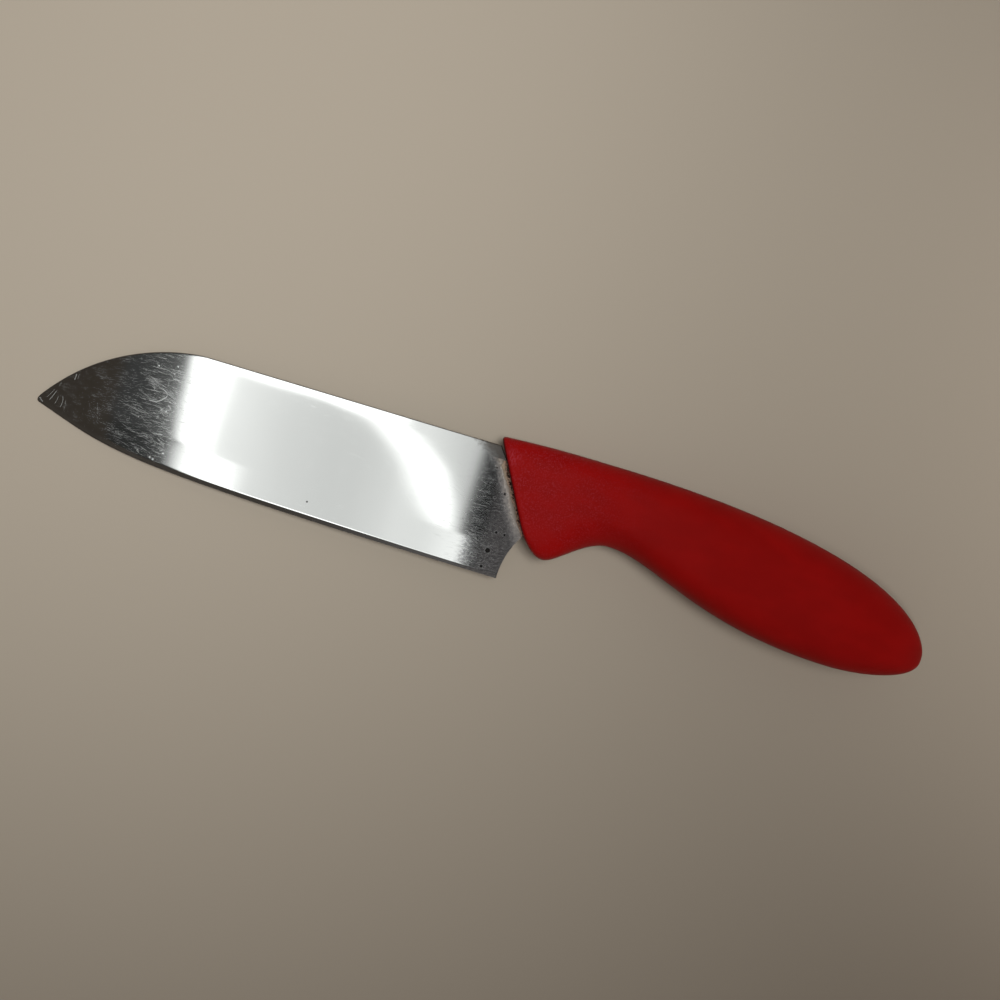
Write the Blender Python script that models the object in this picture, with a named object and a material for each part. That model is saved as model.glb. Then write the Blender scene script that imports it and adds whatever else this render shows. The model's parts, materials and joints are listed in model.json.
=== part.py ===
# Santoku knife: a stamped and ground steel blade whose hidden tang is glued into a moulded
# plastic handle. Lengths are in metres. In the knife's own frame X runs from the tip to the
# butt, Y from the cutting edge up to the spine, and Z is across the blade. At the end an
# empty lays the knife on its side, as it rests on a table.
import math

import bmesh
import bpy
from mathutils import Matrix, Vector

# Blade
BLADE_LENGTH = 0.1275          # tip to heel corner
BLADE_HEIGHT = 0.03285         # cutting edge to spine
SPINE_THICKNESS = 0.0015
GRIND_THICKNESS = 0.0006       # steel left above the edge bevel
BEVEL_HEIGHT = 0.0011          # sharpened band along the edge
EDGE_THICKNESS = 0.00005       # the worn cutting edge itself
STRAIGHT_EDGE = 0.0120         # straight stretch ahead of the heel
TIP_HEIGHT = 0.0093            # tip above the straight stretch
TIP_BLUNT = 0.0011             # height of the blunted point
TIP_ANGLE = math.radians(17)   # slope at which the edge leaves the tip
BELLY_LEAD = 0.0227            # how far the tip's slope is felt
BELLY_EASE = 0.0940            # how gently the belly meets the straight edge
DROP_LENGTH = 0.0405           # the spine turns down over this length
DROP_ANGLE = math.radians(56)  # slope at which the spine's curve leaves the tip
DROP_LEAD = 0.0215
DROP_EASE = 0.0087

# Neck and tang
SPINE_SETBACK = 0.0087         # spine's back corner ahead of the heel corner
SHOULDER_DROP = 0.0033         # step from the spine's back corner down to the tang
SHOULDER_RUN = 0.0024
NECK_LENGTH = 0.0190           # heel corner to where the tang is at its own height
HEEL_LEAD = 0.0090             # upright start of the heel's curved back edge
NECK_EASE = 0.0145             # how gently that curve meets the tang
GRIND_FADE_START = 0.0050      # behind the heel corner the grind runs out
GRIND_FADE_LENGTH = 0.0060
TANG_HEIGHT = 0.0105
TANG_LENGTH = 0.0580           # behind the heel corner
TANG_CORNER = 0.0030           # chamfer at the tang's end
TANG_HOLE_RADIUS = 0.0028
TANG_HOLE_START = 0.0260       # first hole behind the heel corner
TANG_HOLE_PITCH = 0.0180
TANG_HOLE_COUNT = 2

# Handle's outline, measured back from its front top corner and from the line of the spine
FRONT_GAP = 0.0010             # spine's back corner to the handle's front face
FRONT_RAKE = math.radians(28.4)
FRONT_RISE = 0.0023            # front top corner above the spine
FRONT_DEPTH = 0.0208           # front bottom corner below the spine
FRONT_FILLET = 0.0010
CREST_RUN = 0.0299
CREST_RISE = 0.0032
CHIN_RUN = 0.0187
CHIN_DEPTH = 0.0249
GROOVE_RUN = 0.0341            # finger groove, at its deepest
GROOVE_DEPTH = 0.0169
PALM_RUN = 0.0950
PALM_DEPTH = 0.0296
BUTT_RUN = 0.1166
BUTT_DEPTH = 0.0213

# How far the outline holds its direction ahead of and behind each of those points, as a share
# of the way to the next one; the front corners hold a direction of their own, along and up
TOP_CORNER_BEHIND = (0.38, 0.80)
CREST_AHEAD = 0.52
CREST_BEHIND = 0.94
BUTT_ABOVE = 0.15
LOW_CORNER_BEHIND = (0.39, 0.52)
CHIN_AHEAD = 0.39
CHIN_BEHIND = 0.23
GROOVE_AHEAD = 0.41
GROOVE_BEHIND = 0.21
PALM_AHEAD = 0.575
PALM_BEHIND = 0.27
BUTT_BELOW = 0.77

# Handle's section
FRONT_THICKNESS = 0.0112
GROOVE_THICKNESS = 0.0136
PALM_THICKNESS = 0.0186
THICKEST_RUN = 0.0620          # where the handle reaches its palm thickness
BUTT_ROUNDING = 0.0240         # seen from above, the thickness closes over this run
FRONT_SQUARENESS = 4.5         # power of the superellipse at the front
PALM_SQUARENESS = 2.6
SIDE_FLAT = 0.42               # share of the section's height that is flat on each side

# Glue
GLUE_FILM = 0.0005
GLUE_CLEARANCE = 0.0003        # between the glue and the tang, and the glue and the handle
GLUE_LIP = 0.0006              # the glue between steel and handle stands out this far
BEAD_REACH = 0.0016            # and the squeezed-out bead this far
BEAD_THICKNESS = 0.0046
BEAD_TAPER = 0.0010            # the bead thins over this length at each end
BEAD_END_SHARE = 0.6           # to this share of its section

# Fineness of the faceted surfaces
BELLY_STEPS = 26
DROP_STEPS = 20
HEEL_STEPS = 10
HOLE_SEGMENTS = 24
FRONT_RIBS = 14
GRIP_RIBS = 36
SECTION_STEPS = 6
FILLET_STEPS = 3
BEAD_STEPS = 8
CURVE_SAMPLES = 60
CUT_MARGIN = 0.0040            # how far a cutter runs past what it cuts
WELD_DISTANCE = 1e-6
SHARP_ANGLE = math.radians(30)
STANCE_PASSES = 20             # tries at finding the resting turn

BELLY_LENGTH = BLADE_LENGTH - STRAIGHT_EDGE
SPINE_END = BLADE_LENGTH - SPINE_SETBACK
NECK_TOP = BLADE_HEIGHT - SHOULDER_DROP
TANG_BOTTOM = NECK_TOP - TANG_HEIGHT
TANG_END = BLADE_LENGTH + TANG_LENGTH
FRONT_X = SPINE_END + FRONT_GAP - FRONT_RISE * math.tan(FRONT_RAKE)
POCKET_GROWTH = GLUE_FILM + 2 * GLUE_CLEARANCE
SLEEVE_GROWTH = GLUE_FILM + GLUE_CLEARANCE


def remove_scene_objects():
    for item in list(bpy.data.objects):
        bpy.data.objects.remove(item, do_unlink=True)


def new_collection(name):
    collection = bpy.data.collections.new(name)
    bpy.context.scene.collection.children.link(collection)
    return collection


def mix(first, second, share):
    return first + (second - first) * share


def smooth(share):
    return share * share * (3 - 2 * share)


# Outlines: lists of 2D points in the knife's own frame

def bezier(start, start_handle, end_handle, end, steps):
    """Points along one cubic Bezier curve, both ends included."""
    points = []
    for step in range(steps + 1):
        t = step / steps
        u = 1 - t
        weights = (u ** 3, 3 * u * u * t, 3 * u * t * t, t ** 3)
        corners = (start, start_handle, end_handle, end)
        points.append(sum((w * Vector(c) for w, c in zip(weights, corners)), Vector((0, 0))))
    return points


def edge_points():
    """The cutting edge, from the tip to where it runs straight."""
    slope = Vector((math.cos(TIP_ANGLE), -math.sin(TIP_ANGLE)))
    tip = Vector((0, TIP_HEIGHT))
    straight = Vector((BELLY_LENGTH, 0))
    ease = straight - Vector((BELLY_EASE, 0))
    return bezier(tip, tip + BELLY_LEAD * slope, ease, straight, BELLY_STEPS)


def drop_points():
    """The spine's turn-down, from the tip up to the straight spine."""
    slope = Vector((math.cos(DROP_ANGLE), math.sin(DROP_ANGLE)))
    tip = Vector((0, TIP_HEIGHT + TIP_BLUNT))
    spine = Vector((DROP_LENGTH, BLADE_HEIGHT))
    ease = spine - Vector((DROP_EASE, 0))
    return bezier(tip, tip + DROP_LEAD * slope, ease, spine, DROP_STEPS)


def heel_points():
    """The blade's back edge, from the tang's underside down to the heel corner."""
    tang = Vector((BLADE_LENGTH + NECK_LENGTH, TANG_BOTTOM))
    heel = Vector((BLADE_LENGTH, 0))
    ease = tang - Vector((NECK_EASE, 0))
    return bezier(tang, ease, heel + Vector((0, HEEL_LEAD)), heel, HEEL_STEPS)


def tang_points():
    """The neck and tang, from the spine's back corner round to the tang's underside."""
    return [
        Vector((SPINE_END, BLADE_HEIGHT)),
        Vector((SPINE_END + SHOULDER_RUN, NECK_TOP)),
        Vector((TANG_END - TANG_CORNER, NECK_TOP)),
        Vector((TANG_END, NECK_TOP - TANG_CORNER)),
        Vector((TANG_END, TANG_BOTTOM + TANG_CORNER)),
        Vector((TANG_END - TANG_CORNER, TANG_BOTTOM)),
    ]


def blade_outline():
    """The stamped outline; below the edge it is left large, because the grind ends there."""
    below_edge = [Vector((BLADE_LENGTH, -CUT_MARGIN)), Vector((0, -CUT_MARGIN))]
    return drop_points() + tang_points() + heel_points() + below_edge


def front_x(height):
    """X of the handle's front face at a height above the cutting edge."""
    return FRONT_X + (BLADE_HEIGHT + FRONT_RISE - height) * math.tan(FRONT_RAKE)


def mouth_corner():
    """Where the heel's back edge passes the handle's front face."""
    points = heel_points()
    for inside, outside in zip(points, points[1:]):
        depth = inside.x - front_x(inside.y)
        past = front_x(outside.y) - outside.x
        if past > 0:
            return inside.lerp(outside, depth / (depth + past))
    return points[-1]


def sleeve_outline(setback):
    """The neck and tang, cut off parallel to the handle's front face, setback behind it."""
    low = mouth_corner()
    high = Vector((front_x(NECK_TOP), NECK_TOP))
    back = Vector((setback, 0))
    heel = [point for point in heel_points() if point.y > low.y + GLUE_FILM]
    return [low + back, high + back] + tang_points()[2:] + heel


def grown(outline, distance):
    """The closed outline with every side moved outwards; it runs clockwise."""
    count = len(outline)
    moved = []
    for index, point in enumerate(outline):
        before = (point - outline[index - 1]).normalized()
        after = (outline[(index + 1) % count] - point).normalized()
        normal_before = Vector((-before.y, before.x))
        normal_after = Vector((-after.y, after.x))
        middle = normal_before + normal_after
        moved.append(point + middle * (2 * distance / middle.length_squared))
    return moved


def tang_hole_centres():
    height = (NECK_TOP + TANG_BOTTOM) / 2
    start = BLADE_LENGTH + TANG_HOLE_START
    return [Vector((start + n * TANG_HOLE_PITCH, height)) for n in range(TANG_HOLE_COUNT)]


def circle_points(centre, radius):
    step = 2 * math.pi / HOLE_SEGMENTS
    return [centre + Vector((radius * math.cos(n * step), radius * math.sin(n * step)))
            for n in range(HOLE_SEGMENTS)]


# Solids

def flat_solid(name, outlines, thickness, collection):
    """A plate centred on Z = 0, from filled 2D outlines; inner outlines are holes."""
    curve = bpy.data.curves.new(name, "CURVE")
    curve.dimensions = "2D"
    curve.fill_mode = "BOTH"
    curve.extrude = thickness / 2
    for outline in outlines:
        spline = curve.splines.new("POLY")
        spline.points.add(len(outline) - 1)
        for target, point in zip(spline.points, outline):
            target.co = (point.x, point.y, 0, 1)
        spline.use_cyclic_u = True
    drawn = bpy.data.objects.new(name + "_outline", curve)
    collection.objects.link(drawn)
    bpy.context.view_layer.update()
    graph = bpy.context.evaluated_depsgraph_get()
    mesh = bpy.data.meshes.new_from_object(drawn.evaluated_get(graph))
    mesh.name = name
    welded = bmesh.new()
    welded.from_mesh(mesh)
    bmesh.ops.remove_doubles(welded, verts=welded.verts, dist=WELD_DISTANCE)
    bmesh.ops.recalc_face_normals(welded, faces=welded.faces)
    welded.to_mesh(mesh)
    welded.free()
    solid = bpy.data.objects.new(name, mesh)
    solid.matrix_world = drawn.matrix_world
    collection.objects.link(solid)
    bpy.data.objects.remove(drawn, do_unlink=True)
    bpy.data.curves.remove(curve)
    return solid


def loft(name, rings, collection):
    """A closed solid through rings of points; the last may be a single point, the pole."""
    mesh = bmesh.new()
    rows = [[mesh.verts.new(point) for point in ring] for ring in rings]
    for row, following in zip(rows, rows[1:]):
        count = len(row)
        for index in range(count):
            near = (index + 1) % count
            if len(following) == 1:
                mesh.faces.new((row[index], row[near], following[0]))
            else:
                mesh.faces.new((row[index], row[near], following[near], following[index]))
    for row in (rows[0], rows[-1]):
        if len(row) > 1:
            mesh.faces.new(row)
    bmesh.ops.triangulate(mesh, faces=mesh.faces)
    bmesh.ops.recalc_face_normals(mesh, faces=mesh.faces)
    data = bpy.data.meshes.new(name)
    mesh.to_mesh(data)
    mesh.free()
    solid = bpy.data.objects.new(name, data)
    collection.objects.link(solid)
    return solid


def boolean(solid, other, operation):
    """Combine with another solid, which stays hidden among the cutters."""
    modifier = solid.modifiers.new(operation.title() + "_" + other.name, "BOOLEAN")
    modifier.operation = operation
    modifier.solver = "EXACT"
    modifier.object = other
    other.hide_render = True
    other.display_type = "WIRE"


def ground_blank(name, growth, collection):
    """The blade's ground thickness, from the edge to past the spine, along the whole steel."""
    top = BLADE_HEIGHT + CUT_MARGIN + growth
    run = edge_points()
    slope = math.tan(TIP_ANGLE)
    ahead = Vector((-CUT_MARGIN, TIP_HEIGHT + CUT_MARGIN * slope))
    fade_start = BLADE_LENGTH + GRIND_FADE_START
    behind = [Vector((x, 0)) for x in
              (fade_start, fade_start + GRIND_FADE_LENGTH, TANG_END + CUT_MARGIN)]
    rings = []
    for point in [ahead] + run + behind:
        full = point.x > fade_start
        shoulder = SPINE_THICKNESS / 2 if full else GRIND_THICKNESS / 2
        bevel_top = point.y + BEVEL_HEIGHT
        rise = (top - bevel_top) / (BLADE_HEIGHT - bevel_top)
        halves = [(point.y, EDGE_THICKNESS / 2), (bevel_top, shoulder),
                  (top, mix(shoulder, SPINE_THICKNESS / 2, rise))]
        near = [(point.x, y - growth, z + growth) for y, z in halves]
        far = [(x, y, -z) for x, y, z in reversed(near)]
        rings.append(near + far)
    return loft(name, rings, collection)


def make_blade(parts, cutters):
    blade = ground_blank("blade", 0, parts)
    holes = [circle_points(centre, TANG_HOLE_RADIUS) for centre in tang_hole_centres()]
    depth = SPINE_THICKNESS + 2 * CUT_MARGIN
    stamped = flat_solid("blade_stamping", [blade_outline()] + holes, depth, cutters)
    boolean(blade, stamped, "INTERSECT")
    return blade


# Handle

def handle_point(run, rise):
    return Vector((FRONT_X + run, BLADE_HEIGHT + rise))


def handle_points():
    """The named points of the outline, from the front top corner round to the butt."""
    corner_run = (FRONT_RISE + FRONT_DEPTH) * math.tan(FRONT_RAKE)
    return {
        "top_corner": handle_point(0, FRONT_RISE),
        "crest": handle_point(CREST_RUN, CREST_RISE),
        "low_corner": handle_point(corner_run, -FRONT_DEPTH),
        "chin": handle_point(CHIN_RUN, -CHIN_DEPTH),
        "groove": handle_point(GROOVE_RUN, -GROOVE_DEPTH),
        "palm": handle_point(PALM_RUN, -PALM_DEPTH),
        "butt": handle_point(BUTT_RUN, -BUTT_DEPTH),
    }


def level(start, end, behind, ahead):
    """A curve that leaves and meets its points level."""
    run = end.x - start.x
    return bezier(start, start + Vector((run * behind, 0)), end - Vector((run * ahead, 0)),
                  end, CURVE_SAMPLES)


def cornered(corner, end, behind, ahead):
    """A curve from a front corner, in the corner's own direction, to a level point."""
    run, rise = end - corner
    return bezier(corner, corner + Vector((run * behind[0], rise * behind[1])),
                  end - Vector((run * ahead, 0)), end, CURVE_SAMPLES)


def closing(start, butt, behind, upright):
    """A curve from a level point to the butt, which it meets upright."""
    run, rise = butt - start
    return bezier(start, start + Vector((run * behind, 0)), butt - Vector((0, rise * upright)),
                  butt, CURVE_SAMPLES)


def top_curves():
    """The back of the handle: front top corner to crest, and crest to butt."""
    place = handle_points()
    front = cornered(place["top_corner"], place["crest"], TOP_CORNER_BEHIND, CREST_AHEAD)
    back = closing(place["crest"], place["butt"], CREST_BEHIND, BUTT_ABOVE)
    return front, back


def bottom_curves():
    """The underside: front bottom corner, chin and finger groove, then palm and butt."""
    place = handle_points()
    front = cornered(place["low_corner"], place["chin"], LOW_CORNER_BEHIND, CHIN_AHEAD)
    front += level(place["chin"], place["groove"], CHIN_BEHIND, GROOVE_AHEAD)[1:]
    back = level(place["groove"], place["palm"], GROOVE_BEHIND, PALM_AHEAD)
    back += closing(place["palm"], place["butt"], PALM_BEHIND, BUTT_BELOW)[1:]
    return front, back


def lengths_along(points):
    """Distance from the first point to each point, measured along the line."""
    total = 0.0
    lengths = [total]
    for point, following in zip(points, points[1:]):
        total += (following - point).length
        lengths.append(total)
    return lengths


def point_at(points, share):
    """The point at a share of the line's length."""
    lengths = lengths_along(points)
    target = share * lengths[-1]
    for index in range(len(points) - 1):
        if lengths[index + 1] >= target:
            part = (target - lengths[index]) / (lengths[index + 1] - lengths[index])
            return points[index].lerp(points[index + 1], part)
    return points[-1]


def section_ring(top, bottom, half_thickness, squareness, inset):
    """A flat-sided superellipse standing on the line from bottom to top."""
    centre = (top + bottom) / 2
    half = (top - bottom) / 2
    reach = half.length - inset
    direction = half.normalized()
    depth = half_thickness - inset
    flat_angle = math.acos(SIDE_FLAT ** (squareness / 2))
    flat_depth = math.sin(flat_angle) ** (2 / squareness)
    quarter = []
    for step in range(SECTION_STEPS + 1):
        angle = flat_angle * step / SECTION_STEPS
        along = math.cos(angle) ** (2 / squareness)
        across = math.sin(angle) ** (2 / squareness) / flat_depth
        quarter.append((along * reach, across * depth))
    upper = quarter + [(-along, across) for along, across in reversed(quarter)]
    lower = [(along, -across) for along, across in reversed(upper[1:-1])]
    return [(centre.x + direction.x * along, centre.y + direction.y * along, across)
            for along, across in upper + lower]


def handle_rings():
    """Sections from the raked front face to the butt's pole."""
    top_front, top_back = top_curves()
    bottom_front, bottom_back = bottom_curves()
    squareness = FRONT_SQUARENESS
    half = FRONT_THICKNESS / 2
    rings = []
    back = Vector((math.cos(FRONT_RAKE), math.sin(FRONT_RAKE)))
    for step in range(FILLET_STEPS):
        angle = math.pi / 2 * step / FILLET_STEPS
        inset = FRONT_FILLET * (1 - math.sin(angle))
        setback = FRONT_FILLET * (1 - math.cos(angle)) * back
        rings.append(section_ring(top_front[0] + setback, bottom_front[0] + setback,
                                  half, squareness, inset))
    start = FRONT_FILLET / lengths_along(top_front)[-1]
    for rib in range(FRONT_RIBS):
        share = mix(start, 1, rib / FRONT_RIBS)
        half = mix(FRONT_THICKNESS, GROOVE_THICKNESS, smooth(share)) / 2
        squareness = mix(FRONT_SQUARENESS, PALM_SQUARENESS, smooth(share))
        rings.append(section_ring(point_at(top_front, share), point_at(bottom_front, share),
                                  half, squareness, 0))
    butt = top_back[-1]
    thickest = (THICKEST_RUN - GROOVE_RUN) / (BUTT_RUN - GROOVE_RUN)
    for rib in range(GRIP_RIBS):
        share = math.sin(math.pi / 2 * rib / GRIP_RIBS)
        swell = smooth(min(1, share / thickest))
        half = mix(GROOVE_THICKNESS, PALM_THICKNESS, swell) / 2
        top = point_at(top_back, share)
        bottom = point_at(bottom_back, share)
        into_butt = max(0, 1 - (butt.x - (top.x + bottom.x) / 2) / BUTT_ROUNDING)
        half *= math.sqrt(1 - into_butt * into_butt)
        rings.append(section_ring(top, bottom, half, PALM_SQUARENESS, 0))
    rings.append([(butt.x, butt.y, 0)])
    return rings


def make_handle(parts, cutters):
    handle = loft("handle", handle_rings(), parts)
    thickness = SPINE_THICKNESS + 2 * POCKET_GROWTH
    outline = grown(sleeve_outline(0), POCKET_GROWTH)
    boolean(handle, flat_solid("handle_pocket", [outline], thickness, cutters), "DIFFERENCE")
    return handle


# Glue

def make_bead(cutters):
    """The squeezed-out bead: a half-round bar along the mouth, ahead of the front face."""
    low, high = sleeve_outline(0)[:2]
    along = (high - low).normalized() * BEAD_TAPER
    ahead = Vector((-math.cos(FRONT_RAKE), -math.sin(FRONT_RAKE)))
    stations = ((low, BEAD_END_SHARE), (low + along, 1), (high - along, 1),
                (high, BEAD_END_SHARE))
    rings = []
    for place, share in stations:
        ring = []
        for step in range(BEAD_STEPS + 1):
            angle = math.pi * step / BEAD_STEPS
            reach = mix(GLUE_CLEARANCE, BEAD_REACH, share * math.sin(angle))
            point = place + ahead * reach
            ring.append((point.x, point.y, share * math.cos(angle) * BEAD_THICKNESS / 2))
        rings.append(ring)
    return loft("glue_bead", rings, cutters)


def make_glue(parts, cutters):
    outline = grown(sleeve_outline(SLEEVE_GROWTH - GLUE_LIP), SLEEVE_GROWTH)
    glue = flat_solid("tang_adhesive", [outline], SPINE_THICKNESS + 2 * SLEEVE_GROWTH, parts)
    boolean(glue, make_bead(cutters), "UNION")
    pocket = ground_blank("glue_pocket", GLUE_CLEARANCE, cutters)
    keys = [circle_points(centre, TANG_HOLE_RADIUS - GLUE_CLEARANCE)
            for centre in tang_hole_centres()]
    depth = SPINE_THICKNESS + 2 * CUT_MARGIN
    steel = grown(blade_outline(), GLUE_CLEARANCE)
    stamped = flat_solid("glue_pocket_stamping", [steel] + keys, depth, cutters)
    boolean(pocket, stamped, "INTERSECT")
    boolean(glue, pocket, "DIFFERENCE")
    return glue


# Finish and stance

def give_material(piece, name, colour, roughness, metallic):
    material = bpy.data.materials.new(name)
    material.use_nodes = True
    shader = material.node_tree.nodes["Principled BSDF"]
    shader.inputs["Base Color"].default_value = (*colour, 1)
    shader.inputs["Roughness"].default_value = roughness
    shader.inputs["Metallic"].default_value = metallic
    piece.data.materials.clear()
    piece.data.materials.append(material)
    piece.data.shade_smooth()
    piece.data.set_sharp_from_angle(angle=SHARP_ANGLE)


def evaluated_points(piece):
    graph = bpy.context.evaluated_depsgraph_get()
    mesh = piece.evaluated_get(graph).to_mesh()
    return [vertex.co.copy() for vertex in mesh.vertices]


def resting_turn(front_points, back_points):
    """The turn about Y that brings both pieces' lowest points to one level."""
    pitch = 0.0
    for _ in range(STANCE_PASSES):
        turn = Matrix.Rotation(pitch, 3, "Y")
        front = min(front_points, key=lambda point: (turn @ point).z)
        back = min(back_points, key=lambda point: (turn @ point).z)
        pitch += ((turn @ back).z - (turn @ front).z) / (back.x - front.x)
    return Matrix.Rotation(pitch, 4, "Y")


def lay_on_table(stance, pieces, blade, handle):
    """Tip and palm touch Z = 0, and the origin is under the middle of the knife."""
    bpy.context.view_layer.update()
    clouds = {piece.name: evaluated_points(piece) for piece in pieces}
    turn = resting_turn(clouds[blade.name], clouds[handle.name])
    placed = [turn @ point for cloud in clouds.values() for point in cloud]
    middle = [(min(p[axis] for p in placed) + max(p[axis] for p in placed)) / 2
              for axis in range(2)]
    lowest = min(point.z for point in placed)
    stance.matrix_world = Matrix.Translation((-middle[0], -middle[1], -lowest)) @ turn


def make_knife():
    remove_scene_objects()
    parts = new_collection("santoku_knife")
    cutters = new_collection("cutters")
    blade = make_blade(parts, cutters)
    handle = make_handle(parts, cutters)
    glue = make_glue(parts, cutters)
    give_material(blade, "satin_stainless_steel", (0.60, 0.60, 0.59), 0.28, 1.0)
    give_material(handle, "red_moulded_plastic", (0.22, 0.008, 0.007), 0.50, 0.0)
    give_material(glue, "resin_glue", (0.41, 0.32, 0.26), 0.90, 0.0)
    stance = bpy.data.objects.new("stance", None)
    parts.objects.link(stance)
    for piece in list(parts.objects) + list(cutters.objects):
        if piece is not stance:
            piece.parent = stance
    lay_on_table(stance, (blade, handle, glue), blade, handle)
    bpy.context.view_layer.update()


make_knife()
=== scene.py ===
# A santoku knife lying on a pale counter, seen from straight above.
# Shapes are worked out in the knife's own frame, in millimetres: x runs from the tip to the butt,
# y from the cutting edge up to the spine, z across the blade. laidDown turns that into metres in
# the row frame, where the knife leans on its tip and its palm.
import functools
import json
import math

import bmesh
import bpy
import numpy as np
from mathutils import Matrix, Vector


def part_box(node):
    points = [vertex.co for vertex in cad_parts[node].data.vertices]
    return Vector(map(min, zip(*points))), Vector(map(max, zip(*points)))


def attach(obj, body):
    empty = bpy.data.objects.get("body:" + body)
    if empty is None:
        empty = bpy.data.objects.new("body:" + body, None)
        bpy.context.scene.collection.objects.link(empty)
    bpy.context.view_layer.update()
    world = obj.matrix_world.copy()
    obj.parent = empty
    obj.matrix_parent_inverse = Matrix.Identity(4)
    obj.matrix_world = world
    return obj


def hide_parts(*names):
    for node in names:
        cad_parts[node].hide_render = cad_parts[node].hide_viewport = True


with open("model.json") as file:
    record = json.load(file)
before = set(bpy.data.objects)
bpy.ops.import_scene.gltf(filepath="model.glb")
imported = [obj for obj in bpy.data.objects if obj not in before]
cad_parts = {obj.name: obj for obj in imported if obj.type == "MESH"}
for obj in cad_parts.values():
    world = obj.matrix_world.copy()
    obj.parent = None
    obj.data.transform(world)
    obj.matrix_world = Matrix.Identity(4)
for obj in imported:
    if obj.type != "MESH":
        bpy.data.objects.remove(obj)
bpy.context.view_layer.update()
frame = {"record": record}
print("frame loaded")

mm = 0.001


# Tools for shapes

def bezier(corners, count=400):
    # cubic Bezier: four corners, each weighted by its Bernstein polynomial
    t = np.linspace(0, 1, count)[:, None]
    a, b, c, d = (np.array(corner, float) for corner in corners)
    return (1 - t) ** 3 * a + 3 * t * (1 - t) ** 2 * b + 3 * t ** 2 * (1 - t) * c + t ** 3 * d


def lengthAlong(line):
    # the length of a line up to each of its points
    return np.concatenate([[0], np.cumsum(np.linalg.norm(np.diff(line, axis=0), axis=1))])


def alongLine(line, shares):
    # the points at these shares of a line's length
    length = lengthAlong(line)
    at = np.asarray(shares) * length[-1]
    return np.stack([np.interp(at, length, line[:, 0]), np.interp(at, length, line[:, 1])], axis=-1)


def mix(first, second, share):
    return first + (second - first) * share


def smooth(share):
    share = np.clip(share, 0, 1)
    return share * share * (3 - 2 * share)


def ease(value, start, end):
    # smoothly from 0 at the start to 1 at the end
    return smooth((value - start) / (end - start))


def step(value, at, fade):
    # smoothly from 0 to 1, halfway at this value, over this fade
    return smooth((value - at) / fade + 0.5)


def latticeNoise(points, cell, seed):
    # smooth noise from -1 to 1: seeded random values on a lattice, and each point takes the
    # smoothstep-weighted mean of the eight round it
    side = 32
    table = np.random.default_rng(seed).random((side, side, side))
    scaled = points / cell
    corner = np.floor(scaled).astype(int)
    part = smooth(scaled - corner)
    total = 0
    for far in np.ndindex(2, 2, 2):
        weight = np.prod(np.where(far, part, 1 - part), axis=-1)
        i, j, k = np.moveaxis((corner + far) % side, -1, 0)
        total = total + weight * table[i, j, k]
    return total * 2 - 1


def laidDown(points):
    # a turn about y by the lean, then the move to the counter
    x, y, z = np.moveaxis(points * mm, -1, 0)
    along, up = math.cos(lean), math.sin(lean)
    return np.stack([x * along - z * up, y, x * up + z * along], axis=-1) + place


def ringSkin(name, stacks, sharpAngle):
    # a closed skin over each stack of rings (ring, point round it, xyz); quads join each ring to
    # the next, and a fan to the ring's mean point closes the two ends
    verts, faces, first = [], [], 0
    for rings in stacks:
        count, around = rings.shape[:2]
        index = first + np.arange(count * around).reshape(count, around)
        near = np.roll(index, -1, axis=1)
        quads = np.stack([index[:-1], near[:-1], near[1:], index[1:]], axis=-1)
        poles = first + count * around + np.arange(2)
        start = np.stack([near[0], index[0], np.full(around, poles[0])], axis=-1)
        end = np.stack([index[-1], near[-1], np.full(around, poles[1])], axis=-1)
        verts += [rings.reshape(-1, 3), rings[[0, -1]].mean(axis=1)]
        faces += quads.reshape(-1, 4).tolist() + start.tolist() + end.tolist()
        first += count * around + 2
    mesh = bpy.data.meshes.new(name)
    mesh.from_pydata(laidDown(np.concatenate(verts)).tolist(), [], faces)
    shell = bmesh.new()
    shell.from_mesh(mesh)
    bmesh.ops.recalc_face_normals(shell, faces=shell.faces)
    shell.to_mesh(mesh)
    shell.free()
    mesh.shade_smooth()
    mesh.set_sharp_from_angle(angle=math.radians(sharpAngle))
    piece = bpy.data.objects.new(name, mesh)
    bpy.context.scene.collection.objects.link(piece)
    return piece


# Blade: sheet steel, stamped, ground from the spine down, sharpened to a narrow bevel

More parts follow.
